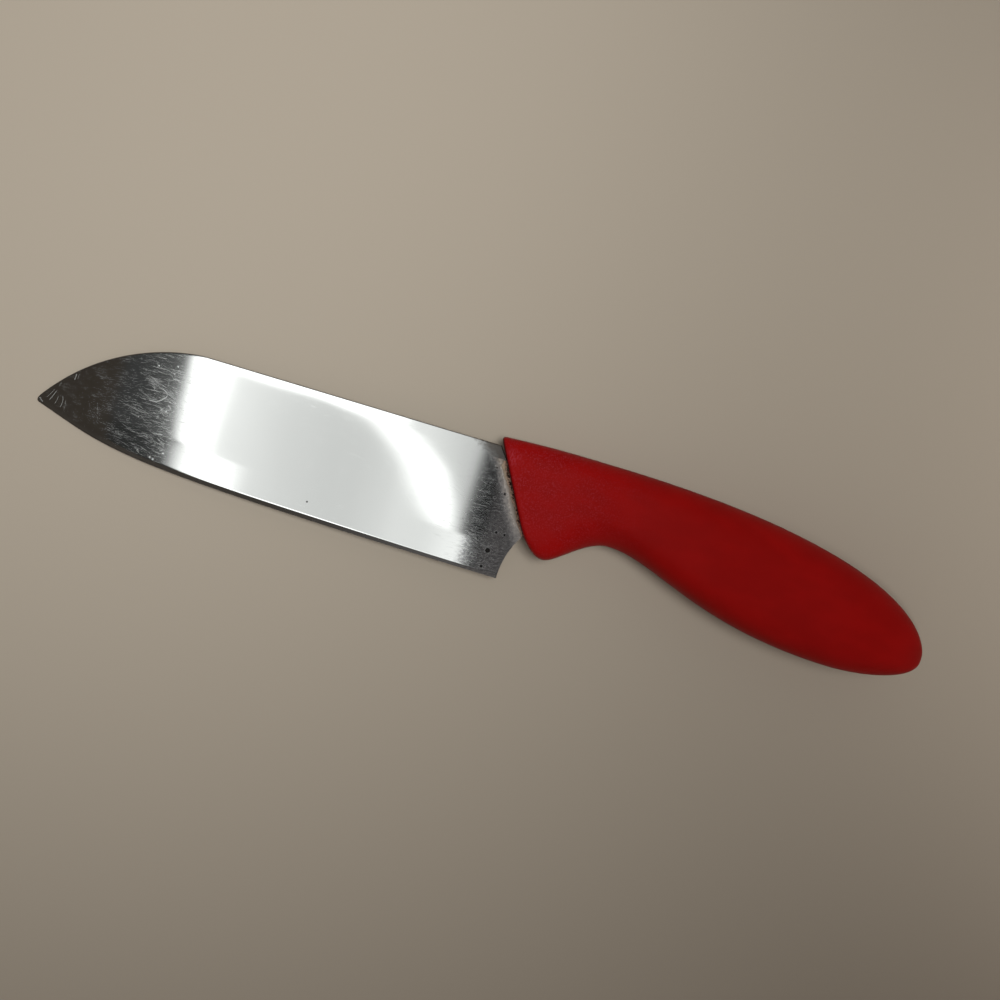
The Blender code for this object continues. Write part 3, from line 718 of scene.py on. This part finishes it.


# Stainless steel, ground and buffed: near mirror, hazed by hairlines, pitted at the heel, with painted brown
# shade by the spine's back corner

steelLook = {
    "steel": "cbcbca",
    "dull": "a5a4a6",           # tarnish in the mottling
    "dullest": 0.8,             # share of it at most
    "stain": "54483c",          # painted shade, brown, by the spine's back corner beside the handle
    "pit": "1c1a19",
    "resinSmear": "9d9083",
    "polish": 0.05,             # roughness of the buffed ground side
    "brushed": 0.02,            # added in the grinding lines
    "mottled": 0.02,            # added by the mottling
    "cornerShadeRough": 0.10,            # added in the painted corner shade
    "scratched": 0.36,          # roughness inside a scratch
    "smeared": 0.8,             # and of the resin smear
    "wornThrough": 0.11,        # how much wear adds to the noise that the hairlines are cut from
    "hairlineFoot": (0.03, 0.16),      # a hairline starts and is full this far over its level
    "cornerShadeLine": (0.55, 0.83, -90.7),  # the way that the painted corner shade lies, and minus its distance from zero
    "cornerShadeWander": 4.0,         # millimetres that its rim wanders
    "smearWander": 2.4,
    "spans": {                  # of a place in mm, a noise or a mask
        "tipClouds": (0.32, 0.68, 0.2, 1.0),
        "tip": (4.0, 26.0, 0.8, 1.0),
        "tipEnd": (42.0, 33.0),
        "tipTop": (30.0, 26.0, 0.3, 1.0),
        "heel": (115.0, 118.5),
        "heelTop": (24.0, 8.0, 0.9, 1.0),
        "hairlines": (0.0, 1.0, 0.48, 0.27),   # from the tip's to the heel's strength
        "mottling": (0.40, 0.62),
        "finePits": (0.70, 0.82, 0.0, 0.5),
        "stain": (-0.6, 2.2, 0.0, 0.75),
        "smear": (-3.0, 0.6, 0.0, 0.9),
        "smearTop": (neckTop + 0.15, neckTop - 0.25),
        "smearLow": (10.0, 17.0, 0.5, 1.0),
        "matt": (0.5, 0.9),
        "shade": (0.3, 0.7, 0.985, 1.01),
    },
    "patterns": {
        "brushing": ((16.0, 0.16, 1), 0.0, 2, 0.0),
        "blotches": ((8.0, 4.0, 1), 0.0, 3, 0.0),
        "clouds": ((6.0, 2.6, 1), -0.2, 2, 0.3),
        "mottling": ((0.9, 0.55, 1), 0.1, 3, 0.3),
        "pitting": ((0.55, 0.45, 1), 0.0, 1, 0.2),
        "ragged": ((0.35, 0.35, 1), 0.0, 2, 0.0),
        "stainRim": ((1.2, 0.8, 1), 0.0, 4, 0.0),
        "smearRim": ((0.8, 1.0, 1), 0.0, 3, 0.0),
    },
    # real hairlines are finer: they are drawn 0.16 mm wide so that they show; the last number is
    # the level of the noise from which they start
    "hairlines": {
        "alongBlade": ((4.5, 0.16, 1), 0.03, 1, 0.1, 0.60),
        "fallingBack": ((3.2, 0.16, 1), -0.28, 1, 0.1, 0.63),
        "risingBack": ((2.6, 0.16, 1), 0.40, 1, 0.1, 0.66),
        "steep": ((3.0, 0.16, 1), 1.15, 1, 0.1, 0.68),
        "steepOther": ((2.6, 0.16, 1), -1.25, 1, 0.1, 0.70),
        "flecks": ((0.7, 0.30, 1), 0.25, 1, 0.2, 0.66),
    },
    "scratchEnds": (1.0, 0.6),  # shares of a scratch's half length over which it fades out
    "spotRim": (0.35, 0.05),    # how far past its radius a spot starts and is full
    "spotRagged": 0.5,
    "scratches": [              # start, end, bow, half width and strength, in knife millimetres
        ((0.3, 10.5), (1.7, 9.3), 0.0, 0.30, 1.0),
        ((4.5, 13.7), (2.9, 10.0), 0.10, 0.20, 1.0),
        ((4.0, 13.9), (1.9, 10.4), 0.10, 0.17, 0.8),
        ((5.0, 15.7), (4.5, 14.4), 0.0, 0.18, 0.7),
        ((5.2, 12.3), (4.6, 9.5), 0.15, 0.16, 0.8),
        ((5.9, 13.0), (6.1, 8.8), 0.65, 0.16, 0.9),
        ((7.2, 12.0), (7.5, 8.6), 0.2, 0.16, 0.7),
        ((8.1, 19.1), (8.0, 17.0), 0.1, 0.22, 1.0),
        ((9.0, 19.4), (8.7, 17.6), 0.1, 0.18, 0.7),
        ((15.5, 13.9), (16.8, 10.2), -0.15, 0.16, 0.6),
        ((16.1, 8.8), (16.4, 7.2), 0.1, 0.18, 0.4),
        ((30.2, 21.6), (32.8, 20.3), 0.45, 0.22, 0.7),
        ((32.8, 20.6), (30.6, 18.3), 0.40, 0.24, 0.7),
        ((31.2, 18.4), (28.0, 18.0), 0.30, 0.22, 0.6),
        ((28.2, 22.3), (29.0, 20.3), 0.2, 0.18, 0.5),
        ((25.9, 23.0), (27.5, 23.0), 0.1, 0.18, 0.5),
        ((24.8, 14.6), (26.9, 14.3), 0.1, 0.22, 0.5),
        ((27.1, 13.7), (29.7, 11.8), 0.0, 0.18, 0.4),
        ((33.6, 18.2), (34.6, 17.0), 0.0, 0.26, 0.7),
        ((32.6, 24.8), (34.9, 24.8), 0.1, 0.20, 0.5),
        ((33.0, 9.2), (35.9, 7.4), 0.0, 0.18, 0.5),
        ((29.2, 5.3), (29.1, 4.0), 0.0, 0.20, 0.6),
    ],
    "nicks": [                  # bright dots: centre and radius
        ((28.3, 27.1), 0.24), ((28.9, 28.6), 0.16), ((33.3, 28.3), 0.22), ((32.9, 26.2), 0.20),
        ((27.0, 13.0), 0.20), ((33.6, 16.2), 0.24), ((32.8, 3.8), 0.26), ((33.7, 3.5), 0.30),
        ((35.9, 5.7), 0.24),
    ],
    "pits": [                   # dark ones
        ((75.4, 4.6), 0.26), ((123.4, 6.2), 0.80), ((126.4, 11.2), 0.45), ((123.0, 1.9), 0.55),
        ((120.9, 3.6), 0.32), ((124.2, 11.2), 0.50), ((123.5, 21.2), 0.40), ((121.3, 19.6), 0.35),
        ((119.6, 27.0), 0.30), ((121.6, 9.3), 0.35),
    ],
}


def scratchMask(add, space, start, end, bow, width, strength):
    # one scratch: a bowed line from start to end, fading at both ends
    start, end = np.array(start), np.array(end)
    middle, half = (start + end) / 2, (end - start) / 2
    turn, reach = math.atan2(half[1], half[0]), float(np.linalg.norm(half))
    mapped = add("Mapping", space, (*middle.tolist(), 0), (0, 0, turn), (reach, 1, 1),
                 vector_type="TEXTURE")
    u, v, _ = add("SeparateXYZ", mapped).node.outputs
    bend = add("Math", add("Math", u, u, **times), bow, v, **timesPlus)
    off = add("Math", add("Math", bend, bow, **minus), operation="ABSOLUTE")
    line = add("MapRange", off, width, 0.0, 0.0, strength, **smoothly)
    ends = add("MapRange", add("Math", u, operation="ABSOLUTE"), *steelLook["scratchEnds"], **smoothly)
    return add("Math", line, ends, **times)


def spotMask(add, space, ragged, centre, radius):
    # one spot with a ragged rim
    away = add("VectorMath", space, (*centre, 0), operation="DISTANCE")
    away = add("Math", ragged, steelLook["spotRagged"], away, **timesPlus)
    start, full = (radius + rim for rim in steelLook["spotRim"])
    return add("MapRange", away, start, full, **smoothly)


def tipAndHeelWear(add, x, y, clouds):
    # wear: clouds of fine scratches over the tip, denser towards the middle, and the whole heel,
    # denser towards the edge
    spans = steelLook["spans"]
    tip = add("MapRange", clouds, *spans["tipClouds"])
    for along, name in ((x, "tip"), (x, "tipEnd"), (y, "tipTop")):
        tip = within(add, tip, along, spans[name])
    heel = add("MapRange", x, *spans["heel"], **smoothly)
    wornHeel = within(add, heel, y, spans["heelTop"])
    return heel, wornHeel, add("Math", tip, wornHeel, **highest)


def hairlineMask(add, space, wear, heel):
    # noise drawn out into streaks, several ways; the more wear, the more of them come through
    look = steelLook
    strength = add("MapRange", heel, *look["spans"]["hairlines"])
    masks = []
    for *pattern, level in look["hairlines"].values():
        worn = add("Math", wear, look["wornThrough"], grownPattern(add, space, *pattern), **timesPlus)
        masks.append(within(add, strength, worn, [level + foot for foot in look["hairlineFoot"]]))
    return strongest(add, masks)


def cornerShadeMask(add, x, y, rim):
    # painted shade, brown, by the spine's back corner beside the handle, with a wandering speckled rim
    across, up, distance = steelLook["cornerShadeLine"]
    past = add("Math", x, across, add("Math", y, up, distance, **timesPlus), **timesPlus)
    past = add("Math", rim, steelLook["cornerShadeWander"], past, **timesPlus)
    return add("MapRange", past, *steelLook["spans"]["stain"], **smoothly)


def resinSmear(add, x, y, rim):
    # a film of resin ahead of the mouth, up to the neck's top and thinner low down
    spans = steelLook["spans"]
    edge = add("Math", rim, steelLook["smearWander"], aheadOfMouth(add, x, y), **timesPlus)
    smear = add("MapRange", edge, *spans["smear"], **smoothly)
    return within(add, within(add, smear, y, spans["smearTop"]), y, spans["smearLow"])


def steelColour(add, field, mottle, layers):
    # plain steel with the mottling's tarnish, shaded along the brushing, under the painted corner shade, the
    # resin smear and the pits
    look, span = steelLook, steelLook["spans"]["shade"]
    shade = within(add, add("MapRange", field["blotches"], *span), field["brushing"], span)
    tarnish = {"dull": add("Math", mottle, look["dullest"], **times)}
    colour = layered(add, hexColour(look["steel"]), look, tarnish)
    return layered(add, add("VectorMath", colour, None, None, shade, **scaled), look, layers)


def steelRoughness(add, brushing, mottle, stain, smear, scratches):
    # the buffed side's own, a little more where it is marked, at least a scratch's or a smear's
    look = steelLook
    rough = add("Math", brushing, look["brushed"], look["polish"] - look["brushed"] / 2, **timesPlus)
    for share, name in ((mottle, "mottled"), (stain, "cornerShadeRough")):
        rough = add("Math", share, look[name], rough, **timesPlus)
    matt = add("MapRange", smear, *look["spans"]["matt"], **smoothly)
    for share, name in ((scratches, "scratched"), (matt, "smeared")):
        rough = add("Math", rough, add("Math", share, look[name], **times), **highest)
    return rough


def satinGroundSteel():
    # buffed steel mirrors the room sharply; the many fine scratches spread a little of the lamps'
    # light over it, so the worn tip and heel look hazy against a dark room
    look = steelLook
    material, add, shader = newMaterial("satinGroundStainlessSteel", Metallic=1.0)
    space = knifeSpace(add)
    x, y, z = add("SeparateXYZ", space).node.outputs
    flat = add("VectorMath", space, (1, 1, 0), **times)
    seenSide = add("Math", z, 0.0, operation="GREATER_THAN")
    field = grownPatterns(add, flat, look["patterns"])
    heel, wornHeel, wear = tipAndHeelWear(add, x, y, field["clouds"])

    marks = [scratchMask(add, flat, *scratch) for scratch in look["scratches"]]
    marks += [spotMask(add, flat, field["ragged"], *nick) for nick in look["nicks"]]
    placed = add("Math", strongest(add, marks), seenSide, **times)
    scratches = add("Math", hairlineMask(add, flat, wear, heel), placed, **highest)

    large = strongest(add, [spotMask(add, flat, field["ragged"], *pit) for pit in look["pits"]])
    fine = within(add, wornHeel, field["pitting"], look["spans"]["finePits"])
    pits = add("Math", add("Math", large, seenSide, **times), fine, **highest)

    mottle = within(add, heel, field["mottling"], look["spans"]["mottling"])
    # painted shade: brown on the steel by the spine's back corner, beside the handle's front face
    stain = cornerShadeMask(add, x, y, field["stainRim"])
    smear = resinSmear(add, x, y, field["smearRim"])
    metal = add("Math", 1.0, add("Math", smear, pits, **highest), **minus)
    finish(shader, Metallic=metal,
           Base_Color=steelColour(add, field, mottle, {"stain": stain, "resinSmear": smear, "pit": pits}),
           Roughness=steelRoughness(add, field["brushing"], mottle, stain, smear, scratches))
    return material


# Polypropylene, moulded red with a spark-eroded grain

plasticLook = {
    "red": "940604",
    "deepRed": "8b0503",
    "rubbed": "ad3a48",
    # painted shade: a dark line on the handle along its front face, at the mouth
    "paintedMouthShade": "300202",
    "scuff": (123.0, 30.6, 5.4),   # centre of the rubbed patch, in knife millimetres
    "grainDepth": 0.02,            # millimetres
    "spans": {                     # of a place in mm, a noise or a mask
        "front": (172.0, 128.0),
        "grains": (0.45, 0.76, 0.0, 0.38),
        "grainClouds": (0.3, 0.6, 0.4, 1.0),
        "scuff": (3.4, 0.5, 0.0, 0.55),        # away from its centre
        "rubbing": (0.42, 0.65),
        "paintedMouthShade": (0.55, 0.1, 0.0, 0.8),        # behind the front face
        "deepRed": (0.3, 0.7),
        "rough": (0.0, 1.0, 0.56, 0.45),       # the butt's, and the front's, where it is handled most
    },
    "patterns": {                  # the real grain is finer: drawn 0.36 mm wide so that it shows
        "grain": ((0.36, 0.36, 0.36), 0.0, 2, 0.0),
        "cloud": ((11.0, 6.0, 6.0), 0.0, 2, 0.0),
        "rubbing": ((0.35, 1.0, 1.0), 0.0, 3, 0.0),
    },
}


def grainedRedPlastic():
    # matte moulding grain with a broad weak sheen; light grains and rubbing at the front, and a dark
    # line of painted shade along the mouth
    look, spans = plasticLook, plasticLook["spans"]
    material, add, shader = newMaterial("grainedRedPolypropylene", IOR=1.49, Specular_IOR_Level=0.13)
    space = knifeSpace(add)
    x, y, _ = add("SeparateXYZ", space).node.outputs
    field = grownPatterns(add, space, look["patterns"])
    front = add("MapRange", x, *spans["front"], **smoothly)
    grains = within(add, front, field["grain"], spans["grains"])
    grains = within(add, grains, field["cloud"], spans["grainClouds"])
    away = add("VectorMath", space, look["scuff"], operation="DISTANCE")
    scuff = add("MapRange", away, *spans["scuff"], **smoothly)
    scuff = within(add, scuff, field["rubbing"], spans["rubbing"])
    colour = layered(add, hexColour(look["red"]), look, {
        "deepRed": add("MapRange", field["cloud"], *spans["deepRed"], **smoothly),
        "rubbed": add("Math", grains, scuff, **highest),
        # painted shade along the mouth, darkest at the front face
        "paintedMouthShade": add("MapRange", aheadOfMouth(add, x, y), *spans["paintedMouthShade"], **smoothly),
    })
    finish(shader, Base_Color=colour, Roughness=add("MapRange", front, *spans["rough"]),
           Normal=add("Bump", 1.0, look["grainDepth"] * mm, None, field["grain"]))
    return material


# Filled epoxy resin, squeezed out and set: chalky, with crumbs that carry a painted pinkish highlight and
# holes that carry painted shade

resinLook = {
    "resin": "a99783",
    # painted highlight and painted pink bounce light from the red handle, on the crumbs
    "crumb": "dcb39c",
    # painted shade in the holes where the resin has broken away
    "paintedPoreShade": "33190f",
    "rough": 0.85,
    "bump": 0.5,               # strength
    "crumbHeight": 0.1,        # millimetres
    "spans": {                 # of a noise or a place in mm
        "crumbs": (0.42, 0.52),
        "crumbsAhead": (-1.2, -0.5),
        "shadedPores": (0.50, 0.56),
        "shadedPoresAhead": (-1.1, -0.5),
        "shadedPoresLow": (13.5, 16.5, 0.3, 1.0),
    },
    "patterns": {
        "crumbs": ((0.5, 0.5, 0.5), 0.0, 2, 0.3),
        "shadedPores": ((0.8, 0.7, 0.7), 0.0, 2, 0.5),
    },
}


def crumblyResin():
    # dull beige filler: the crumbs lighter and pinker as a painted highlight with the red handle's bounce
    # light, and painted shade in the holes where it has broken away
    look, spans = resinLook, resinLook["spans"]
    material, add, shader = newMaterial("crumblyFilledResin", Roughness=look["rough"])
    space = knifeSpace(add)
    x, y, _ = add("SeparateXYZ", space).node.outputs
    field = grownPatterns(add, space, look["patterns"])
    ahead = aheadOfMouth(add, x, y)
    crumbs, shadedPores = (within(add, add("MapRange", field[name], *spans[name], **smoothly), ahead,
                            spans[name + "Ahead"]) for name in ("crumbs", "shadedPores"))
    # the painted shade in the holes is fainter low down
    shadedPores = within(add, shadedPores, y, spans["shadedPoresLow"])
    # the crumb colour is a painted highlight with pink bounce light; the hole colour is painted shade
    colour = layered(add, hexColour(look["resin"]), look, {"crumb": crumbs, "paintedPoreShade": shadedPores})
    bump = add("Bump", look["bump"], look["crumbHeight"] * mm, None, crumbs)
    finish(shader, Base_Color=colour, Normal=bump)
    return material


def dress(piece, material, node):
    piece.data.materials.append(material)
    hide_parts(node)
    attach(piece, "root")


dress(ringSkin("groundBlade", [bladeRings()], sharpAngle=30), satinGroundSteel(),
      "blade")
print("blade made")
dress(ringSkin("mouldedHandle", [handleRings()], sharpAngle=40), grainedRedPlastic(),
      "handle")
print("handle made")
dress(ringSkin("tangGlue", [glueRings(1), glueRings(-1)], sharpAngle=60), crumblyResin(),
      "tang_adhesive")
print("glue made")


# Counter: a plain pale laminate

counterLook = {
    "size": 6.0,                        # metres
    "colour": "b1a696",
    "speckle": 0.5,                     # millimetres
    "detail": 3.0,
    "shade": (0.3, 0.7, 0.94, 1.06),    # of the noise: start, end, and how bright there
    "rough": 0.55,
}


def makeCounter():
    # matt laminate with a very fine print of light and dark grains
    look = counterLook
    half = look["size"] / 2
    mesh = bpy.data.meshes.new("counter")
    mesh.from_pydata([(-half, -half, 0), (half, -half, 0), (half, half, 0), (-half, half, 0)],
                     [], [(0, 1, 2, 3)])
    counter = bpy.data.objects.new("counter", mesh)
    bpy.context.scene.collection.objects.link(counter)
    material, add, shader = newMaterial("mattLaminate", Roughness=look["rough"])
    here = add("TexCoord").node.outputs["Object"]
    grain = add("TexNoise", here, 1 / (look["speckle"] * mm), look["detail"])
    shade = add("MapRange", grain, *look["shade"], **smoothly)
    finish(shader, Base_Color=add("VectorMath", hexColour(look["colour"])[:3], None, None, shade, **scaled))
    mesh.materials.append(material)


# Light: two soft overhead lamps, the wide panel that the steel mirrors, and a dim room

lightPlan = {
    "lamps": {                  # place, aim, cone in degrees, soft share of it, watts, radius, colour
        "keyLamp": ((0.10, 0.08, 0.80), (-0.160, 0.112, 0.0), 49.5, 0.90, 23.0, 0.16, (1.0, 1.02, 1.03)),
        "sideLamp": ((-0.04, -0.082, 0.80), (0.361, 0.117, 0.0), 36.0, 1.0, 26.0, 0.08, (1.03, 1.0, 0.99)),
    },
    "skyFill": 0.05,            # even light from all over the ceiling
    "skyColour": (1.03, 0.85, 0.75),
    "roomLeft": (0.050, 0.042, 0.034),
    "roomRight": (0.105, 0.099, 0.098),
    "roomSide": (0.24, 0.225, 0.21),
    "backdrop": "c9c0b2",
    "spans": {                  # of a direction's x or z
        "right": (-0.3, -0.08),
        "sidesUp": (0.93, 0.6),
        "sidesAcross": (-0.5, -0.2, 0.1, 1.0),
    },
}


def makeLamps():
    # soft-edged overhead spots; the steel mirrors the panel instead of them
    for name, (stand, aim, cone, blur, watts, radius, colour) in lightPlan["lamps"].items():
        data = bpy.data.lights.new(name, "SPOT")
        data.energy = watts
        data.color = colour
        data.spot_size = math.radians(cone)
        data.spot_blend = blur
        data.shadow_soft_size = radius
        lamp = bpy.data.objects.new(name, data)
        lamp.location = stand
        x, y, z = (np.array(stand) - aim) / np.linalg.norm(np.array(stand) - aim)
        lamp.rotation_euler = (math.acos(z), 0, math.atan2(x, -y))
        lamp.visible_glossy = False
        bpy.context.scene.collection.objects.link(lamp)
    data = bpy.data.lights.new("ceilingFill", "SUN")
    data.energy = lightPlan["skyFill"] * math.pi
    data.angle = math.pi
    data.color = lightPlan["skyColour"]
    fill = bpy.data.objects.new("ceilingFill", data)
    fill.visible_glossy = False
    bpy.context.scene.collection.objects.link(fill)


panelPlan = {                   # metres; a pair is above and below the line across the panel
    "height": 1.0,
    "sides": (-0.53, -0.10),
    "depth": 0.36,
    "grid": (240, 300),
    "colour": "fcfffd",
    "line": -0.077,
    "lineFade": 0.008,
    "rim": ((-0.53, -0.50, -0.48, -0.46, -0.45), (0.05, 0.06, 0.09, 0.14, 0.22)),   # x, and its level
    "rimShare": (1.0, 0.6),
    "leftSlant": ((-0.075, -0.065, -0.03, 0.02),                 # y, and the slant's x there
                  (-0.440, -0.4495, -0.4545, -0.457)),
    "lowLeft": -0.4435,
    "leftFade": (0.012, 0.040),
    "right": (-0.1255, -0.1165),
    "rightFade": (0.014, 0.008),
    "white": (2.3, 1.6),        # below the line it drops only right of the patch
    "lowWhiteRun": (-0.25, -0.20),
    "patchLeft": (-0.408, -0.376),
    "patchLeftFade": (0.024, 0.036),
    "patchSlant": ((-0.076, -0.062, -0.042, -0.025, -0.009, 0.011, 0.024),
                   (-0.143, -0.166, -0.184, -0.195, -0.212, -0.244, -0.291)),
    "patchSlantFade": 0.045,
    "patchTop": 0.027,
    "patchTopFade": 0.014,
    "patchBottom": -0.165,
    "patchBottomFade": 0.02,
    "patchLevel": ((-0.395, -0.362, -0.329, -0.28, -0.247, -0.214, -0.198),      # x, and the level
                   (1.40, 1.235, 1.10, 1.0, 1.0, 1.10, 1.22)),
    "veilSlant": ((-0.067, -0.042, -0.0144, -0.0006, 0.0086, 0.0247),
                  (-0.135, -0.142, -0.157, -0.176, -0.191, -0.212)),
    "veilFade": 0.022,
    "veilLevel": ((-0.19, -0.128), (1.28, 0.9)),
}


def panelGlow(x, y):
    # a white diffuser with a grey patch before it, slanted at the right and fading out into a dim
    # veil; below a line across it, which only the blade's lower grind mirrors, the patch starts
    # further right and the white reaches further out
    plan = panelPlan
    low = 1 - step(y, plan["line"], plan["lineFade"])
    left = mix(np.interp(y, *plan["leftSlant"]), plan["lowLeft"], low)
    rise = step(x, left, mix(*plan["leftFade"], low))
    fall = 1 - step(x, mix(*plan["right"], low), mix(*plan["rightFade"], low))
    white = mix(*plan["white"], low * ease(x, *plan["lowWhiteRun"]))
    patch = step(x, mix(*plan["patchLeft"], low), mix(*plan["patchLeftFade"], low))
    patch = patch * (1 - step(x, np.interp(y, *plan["patchSlant"]), plan["patchSlantFade"]))
    patch = patch * (1 - step(y, plan["patchTop"], plan["patchTopFade"]))
    patch = patch * step(y, plan["patchBottom"], plan["patchBottomFade"])
    veil = step(x, np.interp(y, *plan["veilSlant"]), plan["veilFade"]) * (1 - low)
    glow = mix(white, np.interp(x, *plan["patchLevel"]), patch)
    glow = mix(glow, np.interp(x, *plan["veilLevel"]), veil)
    rim = np.interp(x, *plan["rim"]) * mix(*plan["rimShare"], low)
    return mix(rim, glow, rise) * fall


def makePanel():
    # a fine grid whose points carry the glow; it lights nothing but what mirrors it
    plan = panelPlan
    columns, rows = plan["grid"]
    x, y = np.meshgrid(np.linspace(*plan["sides"], columns), np.linspace(-plan["depth"], plan["depth"], rows))
    verts = np.stack([x, y, 0 * x + plan["height"]], axis=-1).reshape(-1, 3)
    index = np.arange(len(verts)).reshape(x.shape)
    faces = np.stack([index[:-1, :-1], index[1:, :-1], index[1:, 1:], index[:-1, 1:]], axis=-1)
    mesh = bpy.data.meshes.new("lightPanel")
    mesh.from_pydata(verts.tolist(), [], faces.reshape(-1, 4).tolist())
    glow = mesh.attributes.new("glow", "FLOAT", "POINT")
    glow.data.foreach_set("value", panelGlow(x, y).ravel())
    material = bpy.data.materials.new("litDiffuser")
    material.use_nodes = True
    material.node_tree.nodes.clear()
    add = functools.partial(addNode, material.node_tree)
    level = add("Attribute", attribute_name="glow").node.outputs["Fac"]
    add("OutputMaterial", add("Emission", hexColour(plan["colour"]), level))
    mesh.materials.append(material)
    panel = bpy.data.objects.new("lightPanel", mesh)
    panel.visible_diffuse = False
    bpy.context.scene.collection.objects.link(panel)


def makeRoom():
    # dim overhead, lighter towards the walls; the camera sees the walls as a plain pale backdrop
    plan, spans = lightPlan, lightPlan["spans"]
    world = bpy.data.worlds.new("room")
    bpy.context.scene.world = world
    world.use_nodes = True
    world.node_tree.nodes.clear()
    add = functools.partial(addNode, world.node_tree)
    x, y, up = add("SeparateXYZ", add("TexCoord")).node.outputs
    right = add("MapRange", x, *spans["right"], **smoothly)
    ceiling = add("Mix", right, (*plan["roomLeft"], 1), (*plan["roomRight"], 1), **asColour)
    sides = within(add, add("MapRange", up, *spans["sidesUp"], **smoothly), x, spans["sidesAcross"])
    room = add("Background", add("Mix", sides, ceiling, (*plan["roomSide"], 1), **asColour))
    seen = add("LightPath").node.outputs["Is Camera Ray"]
    add("OutputWorld", add("MixShader", seen, room, add("Background", hexColour(plan["backdrop"]))))


photoCamera = {
    "height": 0.330,             # metres above the counter
    "above": (0.00512, 0.00138),
    "roll": 16.85,               # degrees; the knife lies askew in the picture
    "pixelOnCounter": 0.00026,   # metres
    "pixels": 1000,
    "sensor": 36.0,
}


def makeCamera():
    # straight above the counter, framed as the photograph is
    shot = photoCamera
    data = bpy.data.cameras.new("photoCamera")
    data.sensor_width = shot["sensor"]
    data.lens = shot["sensor"] * shot["height"] / (shot["pixels"] * shot["pixelOnCounter"])
    camera = bpy.data.objects.new("photoCamera", data)
    camera.location = (*shot["above"], shot["height"])
    camera.rotation_euler = (0, 0, math.radians(shot["roll"]))
    bpy.context.scene.collection.objects.link(camera)
    bpy.context.scene.camera = camera


makeCounter()
makeLamps()
makePanel()
makeRoom()
makeCamera()
bpy.context.scene.view_settings.view_transform = "Standard"
print("stage, light and camera made")
